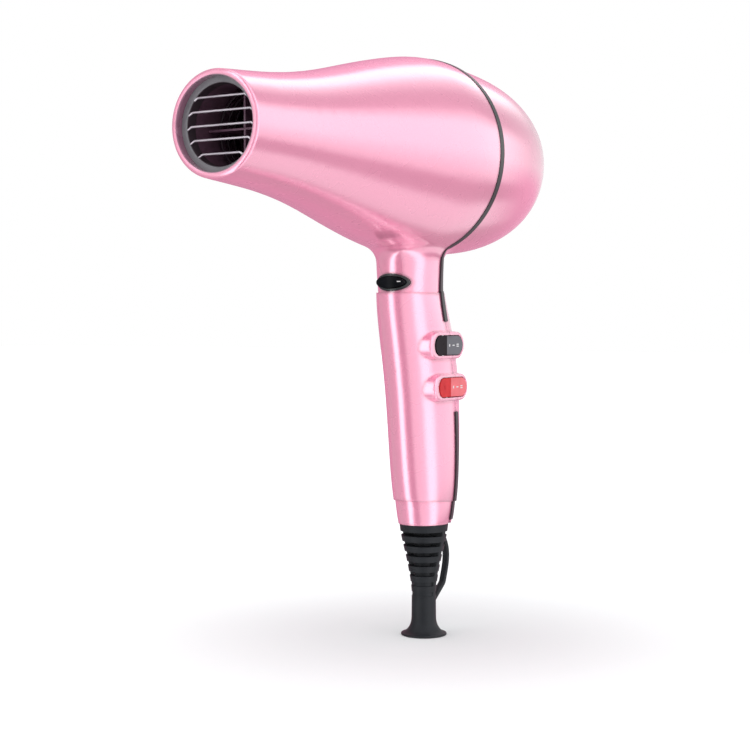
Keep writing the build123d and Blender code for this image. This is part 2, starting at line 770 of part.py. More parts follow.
with BuildPart() as inlet_guard:
    with BuildSketch(barrel_plane(DUCT_END + 0.4)):
        Circle(DUCT_R - 0.8)
        Circle(29.4, mode=Mode.SUBTRACT)
        for guard_radius in (8.0, 15.0, 22.0):
            Circle(guard_radius + 0.7)
            Circle(guard_radius - 0.7, mode=Mode.SUBTRACT)
        with PolarLocations(18.8, 6, 30):
            Rectangle(22.6, 1.6)
    extrude(amount=1.8)
save_piece(inlet_guard, "inlet_guard")

with BuildPart() as filter_cover:
    add(barrel_form(0))
    add(barrel_form(COVER_WALL), mode=Mode.SUBTRACT)
    with BuildSketch(barrel_plane(COVER_START)):
        Circle(90)
    extrude(amount=-300, mode=Mode.SUBTRACT)
    with BuildSketch(barrel_plane(COVER_START - 2.4)):
        Circle(SKIRT_R)
        Circle(SKIRT_R - COVER_WALL, mode=Mode.SUBTRACT)
    extrude(amount=5.0)
    with BuildSketch(barrel_plane(COVER_START)):
        Circle(COVER_RIM_R - 1.4)
        Circle(SKIRT_R - COVER_WALL, mode=Mode.SUBTRACT)
    extrude(amount=1.2)
    with BuildSketch(barrel_plane(COVER_START)):
        Circle(GRILLE_R + RUNNING_FIT)
    extrude(amount=12, mode=Mode.SUBTRACT)
save_piece(filter_cover, "filter_cover")

with BuildPart() as inlet_grille:
    add(barrel_form(0))
    add(barrel_form(COVER_WALL), mode=Mode.SUBTRACT)
    with BuildSketch(barrel_plane(COVER_START)):
        Circle(GRILLE_R)
    extrude(amount=12, mode=Mode.INTERSECT)
    for ring_radius, hole_count in HOLE_RINGS:
        with BuildSketch(barrel_plane(COVER_START)):
            with PolarLocations(ring_radius, hole_count):
                Circle(COVER_HOLE_R)
        extrude(amount=12, mode=Mode.SUBTRACT)
save_piece(inlet_grille, "inlet_grille")

with BuildPart() as filter_mesh:
    with BuildSketch(barrel_plane(COVER_START + 1.4)):
        Circle(SKIRT_R - COVER_WALL)
    extrude(amount=0.5)
save_piece(filter_mesh, "filter_mesh")

# ---------------------------------------------------------------- rocker switches
ROCKER_TOP_X = SWITCH_FACE_X + 0.3
ROCKER_VALLEY_X = SWITCH_FACE_X - 1.2
ROCKER_BASE_X = 10.4


def rocker(boss_y, height):
    """Two-faced rocker in its opening, with a hole for its pin."""
    centre_y = boss_y + BOSS_SETBACK
    half = ROCKER_LENGTH / 2
    with BuildPart() as button:
        add(switch_column(centre_y, height, ROCKER_LENGTH, ROCKER_HEIGHT, ROCKER_BASE_X, ROCKER_TOP_X))
        with BuildSketch(Plane.XY.offset(height - 10)):
            with BuildLine():
                Polyline(
                    (ROCKER_TOP_X, centre_y - half),
                    (ROCKER_VALLEY_X, centre_y + 1.5),
                    (ROCKER_TOP_X, centre_y + half),
                    (30, centre_y + half),
                    (30, centre_y - half),
                    close=True,
                )
            make_face()
        extrude(amount=20, mode=Mode.SUBTRACT)
        with BuildSketch(Plane.XY.offset(height - 10)):
            with Locations((ROCKER_PIVOT_X, centre_y)):
                Circle(ROCKER_PIN_R + RUNNING_FIT)
        extrude(amount=20, mode=Mode.SUBTRACT)
    return button.part


with BuildPart() as speed_rocker:
    add(rocker(SPEED_BOSS_Y, SPEED_Z))
save_piece(speed_rocker, "speed_rocker")

with BuildPart() as heat_rocker:
    add(rocker(HEAT_BOSS_Y, HEAT_Z))
save_piece(heat_rocker, "heat_rocker")

with BuildPart() as rocker_pins:
    for boss_y, boss_z in SWITCHES:
        with BuildSketch(Plane.XY.offset(boss_z - ROCKER_PIN_LENGTH / 2)):
            with Locations((ROCKER_PIVOT_X, boss_y + BOSS_SETBACK)):
                Circle(ROCKER_PIN_R)
        extrude(amount=ROCKER_PIN_LENGTH)
save_piece(rocker_pins, "rocker_pins")

SWITCH_BODY_TOP_X = 8.6


def switch_body(boss_y, height):
    """Contact block under a rocker, with its plunger and three blade terminals."""
    centre_y = boss_y + BOSS_SETBACK
    with BuildPart() as block:
        with Locations((SWITCH_BODY_TOP_X / 2 + 0.6, centre_y, height)):
            Box(SWITCH_BODY_TOP_X - 1.2, 20, 9.0)
        with Locations((SWITCH_BODY_TOP_X + 0.5, centre_y, height)):
            Cylinder(1.6, 1.4, rotation=(0, 90, 0))
        for terminal in (-1, 0, 1):
            with Locations((-1.2, centre_y + terminal * 6.5, height)):
                Box(3.6, 0.8, 4.6)
    return block.part


with BuildPart() as speed_switch:
    add(switch_body(SPEED_BOSS_Y, SPEED_Z))
save_piece(speed_switch, "speed_switch")

with BuildPart() as heat_switch:
    add(switch_body(HEAT_BOSS_Y, HEAT_Z))
save_piece(heat_switch, "heat_switch")

# ---------------------------------------------------------------- cold-shot button
BUTTON_TRAVEL = 1.5
BUTTON_STEM = 5.6
STEM_R = 1.5
SPRING_R = 2.4
SPRING_WIRE_R = 0.25


def front_oval(half_width, half_height, start_y, length):
    """Oval block along Y at the button's height."""
    with BuildPart() as form:
        with BuildSketch(Plane.XZ.offset(-start_y)):
            with Locations((0, BUTTON_Z)):
                Ellipse(half_width, half_height)
        extrude(amount=-length)
    return form.part


with BuildPart() as button_bezel:
    add(front_oval(BUTTON_HALF_WIDTH - 0.1, BUTTON_HALF_HEIGHT - 0.1, -40, 20))
    add(oval_form(CORE_SECTIONS, -0.7), mode=Mode.INTERSECT)
    add(oval_form(CORE_SECTIONS, HANDLE_WALL), mode=Mode.SUBTRACT)
    add(
        front_oval(BUTTON_HALF_WIDTH - BEZEL_RIM, BUTTON_HALF_HEIGHT - BEZEL_RIM, -40, 30),
        mode=Mode.SUBTRACT,
    )
save_piece(button_bezel, "button_bezel")

with BuildPart() as cold_shot_button:
    add(front_oval(BUTTON_HALF_WIDTH - BEZEL_RIM - 0.3, BUTTON_HALF_HEIGHT - BEZEL_RIM - 0.3, -40, 18))
    add(oval_form(CORE_SECTIONS, -2.4), mode=Mode.INTERSECT)
    add(oval_form(CORE_SECTIONS, HANDLE_WALL + 0.6), mode=Mode.SUBTRACT)
    with BuildSketch(Plane.XZ.offset(-NECK_FRONT_Y - HANDLE_WALL)):
        with Locations((0, BUTTON_Z)):
            Circle(STEM_R)
    extrude(amount=-BUTTON_STEM)
save_piece(cold_shot_button, "cold_shot_button")

with BuildPart() as button_spring:
    with BuildLine() as spring_line:
        Helix(
            pitch=1.1,
            height=4.4,
            radius=SPRING_R,
            center=(0, NECK_FRONT_Y + HANDLE_WALL + BUTTON_TRAVEL + 2.2, BUTTON_Z),
            direction=(0, 1, 0),
        )
    with BuildSketch(Plane(origin=spring_line.line @ 0, z_dir=spring_line.line % 0)):
        Circle(SPRING_WIRE_R)
    sweep(path=spring_line.line, is_frenet=True)
save_piece(button_spring, "button_spring")

with BuildPart() as cold_shot_switch:
    with Locations((0, NECK_FRONT_Y + 13.5, BUTTON_Z)):
        Box(12, 6.0, 6.5)
    with Locations((0, NECK_FRONT_Y + 10.0, BUTTON_Z)):
        Box(3.0, 1.2, 2.4)
save_piece(cold_shot_switch, "cold_shot_switch")

# ---------------------------------------------------------------- inside the handle
BOARD_X = -2.0
BOARD_LOW = 77.0
BOARD_HIGH = 104.0

with BuildPart() as circuit_board:
    with Locations((BOARD_X, 1.0, (BOARD_LOW + BOARD_HIGH) / 2)):
        Box(1.4, 26.0, BOARD_HIGH - BOARD_LOW)
    fillet(circuit_board.edges().filter_by(Axis.X), 1.0)
save_piece(circuit_board, "circuit_board")

BOARD_FACE_X = BOARD_X + 0.7

with BuildPart() as capacitor:
    with Locations((BOARD_FACE_X + 3.0, 5.5, 84.5)):
        Box(6.0, 13.0, 11.0)
    fillet(capacitor.edges().filter_by(Axis.X), 0.8)
save_piece(capacitor, "capacitor")

with BuildPart() as diodes:
    for diode_number in range(4):
        with Locations((BOARD_FACE_X + 1.4, -6.5 + diode_number * 4.6, 97.5)):
            Cylinder(1.4, 6.0)
save_piece(diodes, "diodes")

with BuildPart() as choke:
    with BuildSketch(Plane(origin=(BOARD_FACE_X, -6.0, 84.5), x_dir=(0, 1, 0), z_dir=(1, 0, 0))):
        Circle(5.0)
        Circle(2.2, mode=Mode.SUBTRACT)
    extrude(amount=4.2)
    fillet(choke.edges().group_by(Axis.X)[-1], 1.0)
save_piece(choke, "choke")

with BuildPart() as terminal_block:
    with Locations((-7.0, -2.5, 122.0)):
        Box(5.6, 15.0, 10.0)
        with Locations((-2.8, 0, 0)):
            with GridLocations(1, 4.8, 1, 3):
                Cylinder(1.7, 3.0, rotation=(0, 90, 0), mode=Mode.SUBTRACT)
save_piece(terminal_block, "terminal_block")

CLAMP_Z = 62.0

with BuildPart() as cable_clamp:
    with Locations((0, 0.5, CLAMP_Z)):
        Box(20.0, 7.0, 5.0)
        Cylinder(GUARD_BORE_R - 0.2, 20, mode=Mode.SUBTRACT)
        with Locations((-7.2, 0, 0), (7.2, 0, 0)):
            Cylinder(1.35, 20, rotation=(90, 0, 0), mode=Mode.SUBTRACT)
save_piece(cable_clamp, "cable_clamp")

with BuildPart() as clamp_screws:
    for side in (-1, 1):
        with Locations((side * 7.2, 0.3, CLAMP_Z)):
            Cylinder(1.2, 8.4, rotation=(90, 0, 0))
        with Locations((side * 7.2, 5.1, CLAMP_Z)):
            Cylinder(2.2, 1.6, rotation=(90, 0, 0))
save_piece(clamp_screws, "clamp_screws")

with BuildPart() as handle_screws:
    for screw_z in SCREW_HEIGHTS:
        centre_y, half_y = oval_centre(screw_z)
        add(handle_screw(screw_z, centre_y + half_y - 0.4, SCREW_HEAD_LENGTH, 28))
save_piece(handle_screws, "handle_screws")

LEAD_R = 1.0


def lead(points, radius):
    """Insulated lead along straight runs with rounded turns."""
    with BuildPart() as wire:
        with BuildLine() as route:
            FilletPolyline(*points, radius=radius)
        with BuildSketch(Plane(origin=route.line @ 0, z_dir=route.line % 0)):
            Circle(LEAD_R)
        sweep(path=route.line)
    return wire.part


with BuildPart() as mains_leads:
    for lead_number in (-1, 1):
        add(
            lead(
                (
                    (-3.0, 0.5 + lead_number * 5.5, 66.5),
                    (-8.0, 0.5 + lead_number * 4.5, 76.0),
                    (-8.0, -1.5 + lead_number * 3.5, 116.5),
                ),
                12,
            )
        )
save_piece(mains_leads, "mains_leads")

with BuildPart() as motor_leads:
    for lead_number in (-1, 0, 1):
        add(
            lead(
                (
                    (-8.0, -1.5 + lead_number * 5.0, 127.5),
                    (-8.0, -6.0 + lead_number * 4.0, 146.0),
                    (-7.5, -13.0 + lead_number * 4.0, 182.0),
                ),
                30,
            )
        )
save_piece(motor_leads, "motor_leads")

# ---------------------------------------------------------------- cord guard and loop
with BuildPart() as cord_guard:
    with BuildSketch(Plane.XZ):
        with BuildLine():
            foot_edge = Line((0, 0), (FOOT_R - 0.4, 0))
            rim = ThreePointArc(foot_edge @ 1, (FOOT_R, 0.5), (FOOT_R - 0.5, 1.1))
            flare = Spline(
                rim @ 1, (7.0, 3.6), (GUARD_TUBE_R + 0.1, 9.0), tangents=[(-1, 0.25), (0, 1)]
            )
            tube = Line(flare @ 1, (GUARD_TUBE_R, 18.5))
            taper = Spline(
                tube @ 1,
                (6.5, 27.0),
                (8.2, 36.0),
                (10.4, 45.5),
                (11.4, COLLAR_TOP),
                tangents=[(0, 1), (0.1, 1)],
            )
            Polyline(
                taper @ 1,
                (8.0, COLLAR_TOP),
                (8.0, 54.8),
                (9.8, 54.8),
                (9.8, 57.0),
                (0, 57.0),
                (0, 0),
            )
        make_face()
    revolve(axis=Axis.Z)
    for window_number, core_radius in enumerate(WINDOW_CORE_RADII):
        window_bottom = TOP_WINDOW_Z - window_number * WINDOW_PITCH - WINDOW_HEIGHT / 2
        for side in (-1, 1):
            with BuildSketch(Plane.XY.offset(window_bottom)):
                with Locations((0, side * 11.3)):
                    Rectangle(40, 20)
                Circle(core_radius, mode=Mode.SUBTRACT)
            extrude(amount=WINDOW_HEIGHT, mode=Mode.SUBTRACT)
    Hole(GUARD_BORE_R, 130)
save_piece(cord_guard, "cord_guard")

with BuildPart() as hanging_loop:
    with BuildLine(Plane.YZ) as loop_route:
        Spline(
            (8.8, 47.8),
            (18.6, 42.0),
            (20.8, 34.0),
            (18.2, 24.4),
            (4.9, 12.8),
            tangents=[(1, -0.15), (-0.9, -0.7)],
        )
    with BuildSketch(
        Plane(origin=loop_route.line @ 0, x_dir=(1, 0, 0), z_dir=loop_route.line % 0)
    ):
        RectangleRounded(3.2, 2.4, 1.0)
    sweep(path=loop_route.line)
save_piece(hanging_loop, "hanging_loop")
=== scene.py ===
"""Studio scene of the hair dryer: materials, marks, floor, light and camera for the CAD frame."""
import json
import math

import bmesh
import bpy
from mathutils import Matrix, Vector


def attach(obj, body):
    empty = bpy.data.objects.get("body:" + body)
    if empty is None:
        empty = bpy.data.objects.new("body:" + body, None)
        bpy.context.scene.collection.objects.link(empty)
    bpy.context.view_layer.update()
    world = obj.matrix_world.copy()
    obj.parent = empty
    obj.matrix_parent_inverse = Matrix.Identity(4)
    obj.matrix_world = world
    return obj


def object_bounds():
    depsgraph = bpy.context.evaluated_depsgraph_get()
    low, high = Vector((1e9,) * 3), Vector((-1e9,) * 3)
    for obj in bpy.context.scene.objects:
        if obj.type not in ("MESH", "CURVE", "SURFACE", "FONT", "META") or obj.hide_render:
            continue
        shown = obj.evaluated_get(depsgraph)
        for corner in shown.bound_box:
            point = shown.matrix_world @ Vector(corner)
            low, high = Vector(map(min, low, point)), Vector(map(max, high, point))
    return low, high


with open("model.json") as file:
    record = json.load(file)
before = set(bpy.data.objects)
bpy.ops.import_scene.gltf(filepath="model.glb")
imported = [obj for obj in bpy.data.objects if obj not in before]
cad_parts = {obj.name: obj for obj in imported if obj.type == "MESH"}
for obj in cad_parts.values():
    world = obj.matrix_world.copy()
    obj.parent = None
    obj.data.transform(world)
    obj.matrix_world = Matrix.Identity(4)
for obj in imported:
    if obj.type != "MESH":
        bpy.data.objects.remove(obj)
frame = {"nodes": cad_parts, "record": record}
cad_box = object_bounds()
nodes = frame["nodes"]

# ------------------------------------------------------------------ camera
CAMERA_AZIMUTH = math.radians(32.25)
CAMERA_ELEVATION = math.radians(2.0)
CAMERA_DISTANCE = 0.7216
CAMERA_TARGET = Vector((-0.01933, -0.01220, 0.12151))
CAMERA_LENS = 74.35
SENSOR = 36.0


def make_camera():
    """Camera at the viewing angle, aimed beside the handle as the framing needs."""
    flat = math.cos(CAMERA_ELEVATION)
    back = Vector(
        (
            math.sin(CAMERA_AZIMUTH) * flat,
            -math.cos(CAMERA_AZIMUTH) * flat,
            math.sin(CAMERA_ELEVATION),
        )
    )
    data = bpy.data.cameras.new("camera")
    data.lens = CAMERA_LENS
    data.sensor_width = SENSOR
    data.clip_start = 0.01
    camera = bpy.data.objects.new("camera", data)
    camera.location = CAMERA_TARGET + back * CAMERA_DISTANCE
    camera.rotation_euler = back.to_track_quat("Z", "Y").to_euler()
    bpy.context.scene.collection.objects.link(camera)
    bpy.context.scene.camera = camera


# ------------------------------------------------------------------ node helpers
def grey(level):
    """Neutral colour of one level."""
    return (level, level, level)


def new_material(name):
    """Material with a node tree, and its Principled shader."""
    material = bpy.data.materials.new(name)
    material.use_nodes = True
    return material, material.node_tree, material.node_tree.nodes["Principled BSDF"]


def coordinates(tree, scale=(1.0, 1.0, 1.0)):
    """Object coordinates, in metres, stretched by scale."""
    source = tree.nodes.new("ShaderNodeTexCoord")
    mapping = tree.nodes.new("ShaderNodeMapping")
    mapping.inputs["Scale"].default_value = scale
    tree.links.new(source.outputs["Object"], mapping.inputs["Vector"])
    return mapping.outputs["Vector"]


def noise(tree, scale, detail=3.0, roughness=0.5, stretch=(1.0, 1.0, 1.0)):
    """Noise value at a scale given in cycles per metre."""
    texture = tree.nodes.new("ShaderNodeTexNoise")
    texture.inputs["Scale"].default_value = scale
    texture.inputs["Detail"].default_value = detail
    texture.inputs["Roughness"].default_value = roughness
    tree.links.new(coordinates(tree, stretch), texture.inputs["Vector"])
    return texture.outputs["Fac"]


def wave(tree, scale, direction, distortion=0.0):
    """Straight bands along an axis, in cycles per metre."""
    texture = tree.nodes.new("ShaderNodeTexWave")
    texture.bands_direction = direction
    texture.inputs["Scale"].default_value = scale
    texture.inputs["Distortion"].default_value = distortion
    tree.links.new(coordinates(tree), texture.inputs["Vector"])
    return texture.outputs["Fac"]


def ramp(tree, value, stops):
    """Colour ramp with stops of (place, colour)."""
    node = tree.nodes.new("ShaderNodeValToRGB")
    elements = node.color_ramp.elements
    while len(elements) < len(stops):
        elements.new(0.5)
    for element, (place, colour) in zip(elements, stops):
        element.position = place
        element.color = (*colour, 1.0)
    tree.links.new(value, node.inputs["Fac"])
    return node.outputs["Color"]


def grey_ramp(tree, value, low, high):
    """Ramp between two grey levels, for roughness and the like."""
    return ramp(tree, value, ((0.25, grey(low)), (0.75, grey(high))))


def bump(tree, shader, value, strength, distance, easing=0.0):
    """Bump from a value, in metres of depth, over edges eased by a radius."""
    node = tree.nodes.new("ShaderNodeBump")
    node.inputs["Strength"].default_value = strength
    node.inputs["Distance"].default_value = distance
    tree.links.new(value, node.inputs["Height"])
    if easing:
        eased = tree.nodes.new("ShaderNodeBevel")
        eased.samples = EASING_SAMPLES
        eased.inputs["Radius"].default_value = easing
        tree.links.new(eased.outputs["Normal"], node.inputs["Normal"])
    tree.links.new(node.outputs["Normal"], shader.inputs["Normal"])


def surface(
    name, dark, light, mottle, rough, grain, depth, metallic=0.0, stretch=(1.0, 1.0, 1.0)
):
    """General moulded, cast or drawn surface: mottled colour, uneven gloss and a fine grain."""
    material, tree, shader = new_material(name)
    mottling = noise(tree, mottle, stretch=stretch)
    tree.links.new(
        ramp(tree, mottling, ((0.3, dark), (0.7, light))), shader.inputs["Base Color"]
    )
    tree.links.new(grey_ramp(tree, mottling, *rough), shader.inputs["Roughness"])
    shader.inputs["Metallic"].default_value = metallic
    bump(tree, shader, noise(tree, grain, stretch=stretch), 0.5, depth)
    return material, tree, shader


def mixed(tree, factor, first, second):
    """Mix of two colours, each a socket or a plain colour."""
    node = tree.nodes.new("ShaderNodeMix")
    node.data_type = "RGBA"
    tree.links.new(factor, node.inputs[0])
    colours = [socket for socket in node.inputs if socket.type == "RGBA"]
    for socket, value in zip(colours, (first, second)):
        if isinstance(value, tuple):
            socket.default_value = (*value, 1.0)
        else:
            tree.links.new(value, socket)
    return next(socket for socket in node.outputs if socket.type == "RGBA")


# ------------------------------------------------------------------ materials
BARREL_Z = 0.2213
RING_BORE_RADIUS = 0.0159
RING_MARGIN = 0.0002  # how far the painted shade reaches past the bore
OUTLET_BORE_RADIUS = 0.01835
RECESS_MARGIN = 0.0003
RECESS_END_Y = -0.145
RECESS_FADE = 0.001
WHOLE_LENGTH_Y = 1.0  # behind every node
# Painted shade: dark mauve for the pink wall of the outlet's bore, where it lies in shadow
PAINTED_BORE_SHADE = (0.34, 0.135, 0.22)
RING_BORE_PAINTED_SHADE = (0.05, 0.035, 0.045)
PINK_DARK = (0.91, 0.305, 0.480)
PINK_LIGHT = (0.97, 0.340, 0.525)
MASK_EDGE = 0.0001  # how softly one tone gives way to the next
PAINT_EASING = 0.0026
EASING_SAMPLES = 8
SPEED_RIDGE_Y = -0.0052
HEAT_RIDGE_Y = -0.0015
SPEED_MIDDLE_Z = 0.1355
HEAT_MIDDLE_Z = 0.1162


def inside_bore(tree, radius, last_y):
    """1 nearer the barrel's axis than a radius and in front of last_y, 0 elsewhere."""
    source = tree.nodes.new("ShaderNodeTexCoord")
    mapping = tree.nodes.new("ShaderNodeMapping")
    mapping.inputs["Location"].default_value = (0.0, 0.0, -BARREL_Z)
    mapping.inputs["Scale"].default_value = (1.0, 0.0, 1.0)
    tree.links.new(source.outputs["Object"], mapping.inputs["Vector"])
    distance = tree.nodes.new("ShaderNodeVectorMath")
    distance.operation = "LENGTH"
    tree.links.new(mapping.outputs["Vector"], distance.inputs[0])
    inner = tree.nodes.new("ShaderNodeMapRange")
    inner.inputs["From Min"].default_value = radius
    inner.inputs["From Max"].default_value = radius - MASK_EDGE
    tree.links.new(distance.outputs["Value"], inner.inputs["Value"])
    split = tree.nodes.new("ShaderNodeSeparateXYZ")
    tree.links.new(source.outputs["Object"], split.inputs["Vector"])
    ahead = tree.nodes.new("ShaderNodeMapRange")
    ahead.inputs["From Min"].default_value = last_y + RECESS_FADE
    ahead.inputs["From Max"].default_value = last_y
    tree.links.new(split.outputs["Y"], ahead.inputs["Value"])
    both = tree.nodes.new("ShaderNodeMath")
    both.operation = "MULTIPLY"
    tree.links.new(inner.outputs["Result"], both.inputs[0])
    tree.links.new(ahead.outputs["Result"], both.inputs[1])
    return both.outputs["Value"]


def pearl_paint():
    """Glossy pearl-pink lacquer: fine flakes under a clear coat, with painted shade darkening the
    outlet's bore to mauve.
    """
    material, tree, shader = new_material("pink_shell")
    flakes = tree.nodes.new("ShaderNodeTexVoronoi")
    flakes.inputs["Scale"].default_value = 2600.0
    tree.links.new(coordinates(tree), flakes.inputs["Vector"])
    paint = ramp(tree, flakes.outputs["Distance"], ((0.2, PINK_LIGHT), (0.8, PINK_DARK)))
    # Painted shade on the pink wall inside the outlet's bore
    bore = inside_bore(tree, OUTLET_BORE_RADIUS + RECESS_MARGIN, RECESS_END_Y)
    tree.links.new(mixed(tree, bore, paint, PAINTED_BORE_SHADE), shader.inputs["Base Color"])
    tree.links.new(
        grey_ramp(tree, noise(tree, 60.0), 0.24, 0.30), shader.inputs["Roughness"]
    )
    shader.inputs["Metallic"].default_value = 0.18
    shader.inputs["Coat Weight"].default_value = 1.0
    shader.inputs["Coat Roughness"].default_value = 0.13
    shader.inputs["Coat IOR"].default_value = 1.9
    bump(tree, shader, noise(tree, 3000.0), 0.12, 0.00002, PAINT_EASING)
    return material


def gloss_plastic(name, dark, light, painted_lit_colour, ridge_y):
    """Moulded plastic of a rocker or the button, with painted light: lighter behind ridge_y, as if
    that half of a rocker faced the light.
    """
    material, tree, shader = new_material(name)
    mottling = noise(tree, 220.0)
    plain = ramp(tree, mottling, ((0.3, dark), (0.7, light)))
    painted_lit_tone = ramp(tree, mottling, ((0.3, tuple(0.9 * level for level in painted_lit_colour)), (0.7, painted_lit_colour)))
    split = tree.nodes.new("ShaderNodeSeparateXYZ")
    tree.links.new(coordinates(tree), split.inputs["Vector"])
    # Painted light: the half behind ridge_y takes the lit tone
    half = tree.nodes.new("ShaderNodeMapRange")
    half.inputs["From Min"].default_value = ridge_y - MASK_EDGE
    half.inputs["From Max"].default_value = ridge_y + MASK_EDGE
    tree.links.new(split.outputs["Y"], half.inputs["Value"])
    tree.links.new(mixed(tree, half.outputs["Result"], plain, painted_lit_tone), shader.inputs["Base Color"])
    tree.links.new(grey_ramp(tree, mottling, 0.26, 0.34), shader.inputs["Roughness"])
    shader.inputs["Specular IOR Level"].default_value = 0.04
    bump(tree, shader, noise(tree, 1800.0), 0.5, 0.000015)
    return material


def rubber():
    """Matte moulded rubber with a fine spark-eroded grain."""
    material, tree, shader = surface(
        "black_rubber", (0.010, 0.011, 0.014), (0.016, 0.018, 0.022), 140.0, (0.5, 0.62),
        2400.0, 0.00005,
    )
    shader.inputs["Specular IOR Level"].default_value = 0.2
    return material


def banded(name, dark, light, cycles, direction, rough, depth, metallic):
    """Surface made of fine parallel layers or wires."""
    material, tree, shader = new_material(name)
    bands = wave(tree, cycles, direction, 0.4)
    tree.links.new(ramp(tree, bands, ((0.2, dark), (0.8, light))), shader.inputs["Base Color"])
    tree.links.new(grey_ramp(tree, noise(tree, 300.0), *rough), shader.inputs["Roughness"])
    shader.inputs["Metallic"].default_value = metallic
    bump(tree, shader, bands, 0.6, depth)
    return material


def woven_steel():
    """Fine woven filter mesh: two crossed sets of wires."""
    material, tree, shader = new_material("filter_steel")
    weave = tree.nodes.new("ShaderNodeMath")
    weave.operation = "MAXIMUM"
    tree.links.new(wave(tree, 320.0, "X"), weave.inputs[0])
    tree.links.new(wave(tree, 320.0, "Z"), weave.inputs[1])
    tree.links.new(
        ramp(tree, weave.outputs["Value"], ((0.55, grey(0.01)), (0.85, (0.42, 0.42, 0.44)))),
        shader.inputs["Base Color"],
    )
    tree.links.new(grey_ramp(tree, noise(tree, 500.0), 0.3, 0.5), shader.inputs["Roughness"])
    shader.inputs["Metallic"].default_value = 0.8
    bump(tree, shader, weave.outputs["Value"], 0.8, 0.0002)
    return material


def outlet_grey():
    """Grey ring whose bore is darkened with painted shade."""
    material, tree, shader = surface(
        "ring_grey", (0.15, 0.15, 0.165), (0.21, 0.21, 0.225), 150.0, (0.4, 0.5), 1500.0, 0.00004
    )
    grey_plastic = shader.inputs["Base Color"].links[0].from_socket
    # Painted shade inside the ring's bore, where the outlet lies in shadow
    painted_shade_part = inside_bore(tree, RING_BORE_RADIUS + RING_MARGIN, WHOLE_LENGTH_Y)
    painted_shade_colour = mixed(tree, painted_shade_part, grey_plastic, RING_BORE_PAINTED_SHADE)
    tree.links.new(painted_shade_colour, shader.inputs["Base Color"])
    return material


def circuit_green():
    """Solder resist over copper tracks."""
    material, tree, shader = new_material("board_green")
    tracks = tree.nodes.new("ShaderNodeTexBrick")
    tracks.inputs["Scale"].default_value = 160.0
    tracks.inputs["Color1"].default_value = (0.02, 0.16, 0.07, 1.0)
    tracks.inputs["Color2"].default_value = (0.03, 0.21, 0.09, 1.0)
    tracks.inputs["Mortar"].default_value = (0.05, 0.30, 0.13, 1.0)
    tree.links.new(coordinates(tree), tracks.inputs["Vector"])
    tree.links.new(tracks.outputs["Color"], shader.inputs["Base Color"])
    tree.links.new(grey_ramp(tree, noise(tree, 300.0), 0.25, 0.35), shader.inputs["Roughness"])
    bump(tree, shader, tracks.outputs["Fac"], 0.4, 0.0001)
    return material


